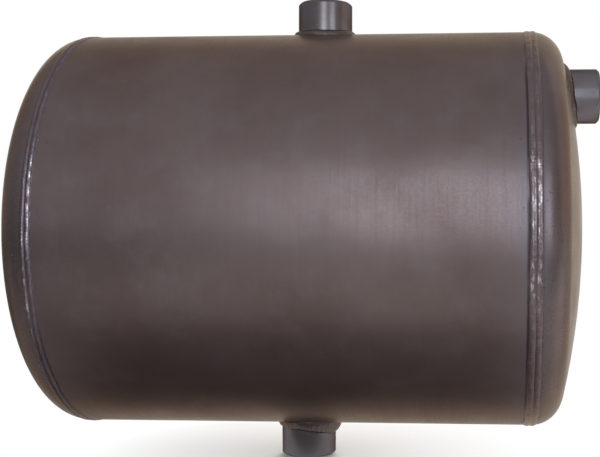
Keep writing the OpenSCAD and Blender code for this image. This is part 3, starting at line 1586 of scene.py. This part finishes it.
@dataclass
class SocketWeld:
    """The fillet weld round a socket.

    Attributes:
        port: The socket that it holds.
        place: Where the socket stands.
        material: Finish of the weld metal.
        plate_leg: Its leg on the plate.
        socket_leg: Its leg on the socket.
        heavy_angle: Where round the socket it is heaviest.
        heavy_share: By what share it is heavier there.
        socket_r: Outside radius of the socket.
        bulge: How far its face stands proud.
        first_seed: Sets these welds apart from the others.
        seed_step: Sets one of them apart from the next.
        ripples: Its ripples.
    """

    port: Port
    place: PortPlace
    material: Material
    plate_leg: float
    socket_leg: float
    heavy_angle: float = 0.0
    heavy_share: float = 0.0
    socket_r: float = 21 * MM
    bulge: float = 0.9 * MM
    first_seed: float = 60.0
    seed_step: float = 7.0
    ripples: Ripples = Ripples(
        pitch=3.4 * MM, depth=0.4 * MM, wander=0.7, steps=8, steps_across=16, sink=0.6 * MM
    )

    def build(self, form: ShapeTree) -> None:
        """Builds the weld.

        Args:
            form: The tree that makes fillet welds.
        """
        length = math.tau * (self.socket_r + self.plate_leg / 2)
        seed = self.first_seed + self.seed_step * list(Port).index(self.port)
        mesh = form.make(
            self.port.value + "_bead",
            {
                **self.ripples.inputs(length, seed, self.material),
                "Socket Radius": self.socket_r,
                "Surface Radius": self.place.surface_r,
                "Roundness": self.place.roundness,
                "Centre X": self.place.centre_x,
                "Centre Z": self.place.centre_z,
                "Plate Leg": self.plate_leg,
                "Socket Leg": self.socket_leg,
                "Bulge": self.bulge,
                "Heavy Angle": self.heavy_angle,
                "Heavy Share": self.heavy_share,
            },
        )
        mesh.transform(self.place.matrix)
        add_piece(mesh.name, mesh, self.material, Slot.WELD, self.port.value + "_weld")


# Stage


@dataclass(frozen=True)
class PhotoCamera:
    """The photograph's viewpoint.

    Attributes:
        right_of_middle: How far the camera stands towards +X from the tank's middle.
        away: Its distance in front of the tank's axis, level with it.
        yaw: How far it turns towards +X.
        focal_px: Its focal length, in pixels of the photograph.
        centre_px: Where its line of sight meets the photograph.
        sensor_mm: Width of its sensor.
    """

    right_of_middle: float = 135.9 * MM
    away: float = 824.8 * MM
    yaw: float = -0.0683
    focal_px: float = 1056.9
    centre_px: tuple[float, float] = (415.0, 228.5)
    sensor_mm: float = 36.0

    def build(self, tank: Tank) -> None:
        """Adds the camera.

        Args:
            tank: Sizes of the tank.
        """
        data = bpy.data.cameras.new("photo_camera")
        data.sensor_width = self.sensor_mm
        data.lens = self.focal_px / PHOTO_WIDTH_PX * self.sensor_mm
        data.shift_x = (PHOTO_WIDTH_PX / 2 - self.centre_px[0]) / PHOTO_WIDTH_PX
        data.shift_y = (self.centre_px[1] - PHOTO_HEIGHT_PX / 2) / PHOTO_WIDTH_PX
        data.clip_start = 10 * MM
        camera = bpy.data.objects.new("photo_camera", data)
        camera.location = (tank.mid_x + self.right_of_middle, -self.away, tank.axis_z)
        camera.rotation_euler = (math.pi / 2, 0.0, -self.yaw)
        bpy.context.scene.collection.objects.link(camera)
        bpy.context.scene.camera = camera


WHITE = (1.0, 1.0, 1.0)
COOL = (0.8, 0.89, 1.0)


@dataclass(frozen=True)
class SoftBox:
    """A soft lamp.

    Attributes:
        name: Its name.
        place: Where it stands, in metres.
        size: Its width and height.
        power: Its power, in watts.
        colour: Its colour.
        mirrored: Whether shiny surfaces mirror it.
    """

    name: str
    place: tuple[float, float, float]
    size: tuple[float, float]
    power: float
    colour: Colour = WHITE
    mirrored: bool = True

    def build(self, target: Vector) -> None:
        """Adds the lamp.

        Args:
            target: The point that it faces.
        """
        data = bpy.data.lights.new(self.name, "AREA")
        data.shape = "RECTANGLE"
        data.size, data.size_y = self.size
        data.energy = self.power
        data.color = self.colour
        lamp = bpy.data.objects.new(self.name, data)
        lamp.location = self.place
        lamp.visible_glossy = self.mirrored
        lamp.rotation_euler = (target - lamp.location).to_track_quat("-Z", "Y").to_euler()
        bpy.context.scene.collection.objects.link(lamp)


@dataclass(frozen=True)
class Studio:
    """A pale floor, painted darker on the left as shade for what the tank mirrors there, under a soft sky,
    with soft lamps.

    Attributes:
        floor_half: Half the width of the floor.
        floor_colours: Its colours on the right and on the left. The darker left one is painted shade, which
            darkens what the tank mirrors on that side.
        colour_change: Width over which one goes over into the other.
        near_right: How much of the left colour, as painted shade, comes back close by on the right, in front.
        near_right_x: Start and end of that change, along X.
        near_right_front: The same towards the front.
        mottle: How much the floor is mottled.
        fade_seen: Where it has faded into the background for the eye.
        front_fade: Start and end of its fading in reflections, towards the front.
        back_fade: The same towards the back, by the place along Y.
        left_dim: By how much the far floor on the left is dimmer in reflections.
        left_x: Start and end of that change, along X.
        right_dim: By how much the floor on the right, in front of the tank, is dimmer in them.
        right_x: Start and end of that change, along X.
        right_front: The same towards the front.
        right_end: End and start of its way back to bright, farther in front.
        horizon_dim: By how much the room on the left is dimmer, at eye level.
        horizon_x: Start and end of that change, by the way along X.
        horizon_y: The same by the way along Y.
        surround: Colour of the surroundings by the way along Y, from the front at -1 to the back at 1.
        side_lead: How much of the way to the right counts as a way to the back.
        side: Colour of the surroundings on the right.
        side_x: Start and end of the change to it, by the way along X.
        lamps: The soft lamps.
    """

    floor_half: float = 30.0
    floor_colours: tuple[Colour, Colour] = ((0.7, 0.66, 0.62), (0.3, 0.28, 0.265))
    colour_change: float = 0.6
    near_right: float = 0.35
    near_right_x: Span = (0.17, 0.27)
    near_right_front: Span = (0.0, 0.2)
    mottle: float = 0.2
    fade_seen: float = 0.17
    front_fade: Span = (0.2, 0.29)
    back_fade: Span = (-0.055, -0.01)
    left_dim: float = 0.7
    left_x: Span = (-0.04, -0.44)
    right_dim: float = 0.6
    right_x: Span = (0.2, 0.5)
    right_front: Span = (-0.075, 0.175)
    right_end: Span = (7 / 6, 1 / 3)
    horizon_dim: float = 0.62
    horizon_x: Span = (-0.25, -0.5)
    horizon_y: Span = (0.6, -0.4)
    surround: tuple[tuple[float, Colour], ...] = (
        (-1.0, (0.97, 0.97, 1.0)),
        (-0.75, (0.95, 0.94, 0.97)),
        (-0.3, (0.77, 0.76, 0.77)),
        (0.1, (0.68, 0.67, 0.68)),
        (0.5, (0.6, 0.58, 0.59)),
        (0.65, (0.48, 0.46, 0.46)),
        (0.71, WHITE),
        (1.0, WHITE),
    )
    side_lead: float = 0.84
    side: Colour = (0.97, 0.86, 0.74)
    side_x: Span = (0.6, 0.9)
    lamps: tuple[SoftBox, ...] = (
        SoftBox("key", (0.05, -1.5, 0.5), (0.5, 1.0), 4.9, COOL),
        SoftBox("fill", (0.9, -1.17, 0.42), (0.5, 0.8), 3.07, COOL),
        SoftBox("overhead", (0.0, 0.35, 2.0), (1.2, 0.25), 20.0, mirrored=False),
        SoftBox("behind", (0.0, 1.8, 0.6), (1.6, 0.2), 125.0, mirrored=False),
    )

    def build(self, tank: Tank) -> None:
        """Adds the floor, the sky and the lamps.

        Args:
            tank: Sizes of the tank.
        """
        self.floor()
        self.sky()
        for lamp in self.lamps:
            lamp.build(Vector((tank.mid_x, 0.0, tank.axis_z)))

    def floor(self) -> None:
        """Adds the floor."""
        half = self.floor_half
        mesh = bpy.data.meshes.new("floor")
        corners = [(-half, -half, 0), (half, -half, 0), (half, half, 0), (-half, half, 0)]
        mesh.from_pydata(corners, [], [(0, 1, 2, 3)])
        mesh.materials.append(self.floor_finish())
        ground = bpy.data.objects.new("floor", mesh)
        bpy.context.scene.collection.objects.link(ground)

    def floor_finish(self) -> Material:
        """Makes the floor's finish, which fades to white far away for the eye and for reflections.

        Returns:
            The finished material.
        """
        material = bpy.data.materials.new("pale_floor")
        material.use_nodes = True
        tree = material.node_tree
        shader = tree.nodes["Principled BSDF"]
        shader.inputs["Roughness"].default_value = 0.9
        shader.inputs["Specular IOR Level"].default_value = 0.1
        place = tree.nodes.new("ShaderNodeTexCoord").outputs["Object"]
        x, y, _ = separate(tree, place)
        front = y * -1.0
        # Painted shade: the floor is darker on the left and close by on the right in front, so that the tank
        # mirrors a darker floor there.
        near_right = x.between(*self.near_right_x) * front.between(*self.near_right_front) * self.near_right
        left = (0.5 - x / self.colour_change + near_right).clamped()
        mottle = noise(tree, place, scale=4.0, detail=4.0) - 0.5
        pale = mix_colour(tree, (left + mottle * self.mottle).clamped(), *self.floor_colours)
        tree.links.new(pale, shader.inputs["Base Color"])
        near_fade = (x * x + y * y).does("SQRT").between(0.0, self.fade_seen)
        far_fade = front.between(*self.front_fade).maximum(y.between(*self.back_fade))
        path = tree.nodes.new("ShaderNodeLightPath")
        rays = ("Is Camera Ray", "Is Glossy Ray", "Is Transmission Ray")
        eye, glossy, through = (Scalar(tree, path.outputs[title]) for title in rays)
        mirrored = glossy.maximum(through)
        right = x.between(*self.right_x) * front.between(*self.right_front) * front.between(*self.right_end)
        dim = x.between(*self.left_x) * self.left_dim + right * self.right_dim
        white = tree.nodes.new("ShaderNodeEmission")
        feed(tree, 1.0 - mirrored * dim, white.inputs["Strength"])
        blend = tree.nodes.new("ShaderNodeMixShader")
        parts = ((eye * near_fade + mirrored * far_fade).clamped(), shader.outputs[0], white.outputs[0])
        for socket, part in zip(blend.inputs, parts):
            feed(tree, part, socket)
        tree.links.new(blend.outputs[0], tree.nodes["Material Output"].inputs["Surface"])
        return material

    def sky(self) -> None:
        """Makes the surroundings: a white backdrop behind, a light front and a dimmer room between them."""
        world = bpy.data.worlds.new("studio_sky")
        bpy.context.scene.world = world
        world.use_nodes = True
        tree = world.node_tree
        background = tree.nodes["Background"]
        right, back, up = separate(tree, tree.nodes.new("ShaderNodeTexCoord").outputs["Generated"])
        ramp = tree.nodes.new("ShaderNodeValToRGB")
        stops = ramp.color_ramp.elements
        while len(stops) < len(self.surround):
            stops.new(0.5)
        for stop, (place, colour) in zip(stops, self.surround):
            stop.position = (place + 1.0) / 2.0
            stop.color = (*colour, 1.0)
        feed(tree, (back + right.maximum(0.0) * self.side_lead + 1.0) * 0.5, ramp.inputs[0])
        colour = mix_colour(tree, right.between(*self.side_x), ramp.outputs[0], self.side, "MULTIPLY")
        tree.links.new(colour, background.inputs["Color"])
        dim = right.between(*self.horizon_x) * (1.0 - up.does("ABSOLUTE")) * back.between(*self.horizon_y)
        eye = Scalar(tree, tree.nodes.new("ShaderNodeLightPath").outputs["Is Camera Ray"])
        feed(tree, 1.0 - dim * self.horizon_dim * (1.0 - eye), background.inputs["Strength"])


def main() -> None:
    """Builds and dresses the tank, then sets the stage."""
    logging.basicConfig(level=logging.INFO, format="%(name)s: %(message)s")
    bpy.context.scene.view_settings.view_transform = "Standard"
    tank = Tank.measured()
    PhotoCamera().build(tank)
    effects = {Effect.SCALE: mill_scale_group(), Effect.HEAT: heat_and_toe_shade_group()}
    shell = PlateFinish("shell_scale").material(tank, effects)
    head = PlateFinish(
        "head_scale",
        brown=(0.13, 0.099, 0.096),
        dark=(0.104, 0.074, 0.071),
        gloss=0.3,
        undercut=0.2,
        weld_half=5.2 * MM,
    ).material(tank, effects)
    weld = WeldFinish("weld_ripples", bump=0.6, relief=0.15 * MM).material()
    # The left weld's painted highlight is brighter, and is placed and sloped where the lamp's highlight falls
    # on that weld.
    left_weld = WeldFinish(
        "left_weld_ridge",
        bright=(0.5, 0.46, 0.49),
        violet=(0.12, 0.1, 0.125),
        bump=0.6,
        bare_cut=0.44,
        highlight_middle=167.6 * MM,
        highlight_half=40 * MM,
        highlight_lean=16.3,
        joint=tank.joint_x(End.LEFT),
    ).material()
    socket_weld = WeldFinish(
        "socket_weld_scale",
        violet=(0.112, 0.088, 0.09),
        brown=(0.1, 0.076, 0.07),
        bump=0.7,
        relief=0.2 * MM,
        bare_cut=0.6,
    ).material()
    turned = SocketFinish("turned_steel").material()
    Plates(shell, head).dress()
    ridge = Ripples(depth=0.1 * MM)
    GirthWelds(
        tank,
        materials={End.LEFT: left_weld, End.RIGHT: weld},
        runs={
            End.LEFT: (
                Run(0.0, 9.5 * MM, 0.2 * MM, Ripples(depth=0.0, steps=3)),
                Run(1.5 * MM, 4.0 * MM, 0.7 * MM, ridge),
                Run(-2.0 * MM, 3.4 * MM, 0.6 * MM, ridge),
            ),
            End.RIGHT: tuple(Run(side * 2.1 * MM, 5.8 * MM, 0.85 * MM) for side in (-1, 1)),
        },
        spatter={End.LEFT: 110, End.RIGHT: 60},
    ).build()
    SeamWeld(tank, weld).build()
    places = {port: PortPlace.of(port, tank) for port in Port}
    for port, place in places.items():
        ThreadedSocket(port, place, turned).build()
    fillet = fillet_tree()
    # Legs on the plate and on the socket, then where a weld is heavier and by what share.
    fillets = {
        Port.TOP: (3.6 * MM, 3.8 * MM),
        Port.BOTTOM: (3.8 * MM, 6.4 * MM, 0.3, 0.4),
        Port.END: (5.2 * MM, 5.0 * MM, math.pi, 0.15),
    }
    for port, sizes in fillets.items():
        SocketWeld(port, places[port], socket_weld, *sizes).build(fillet)
    Studio().build(tank)


if __name__ == "__main__":
    main()
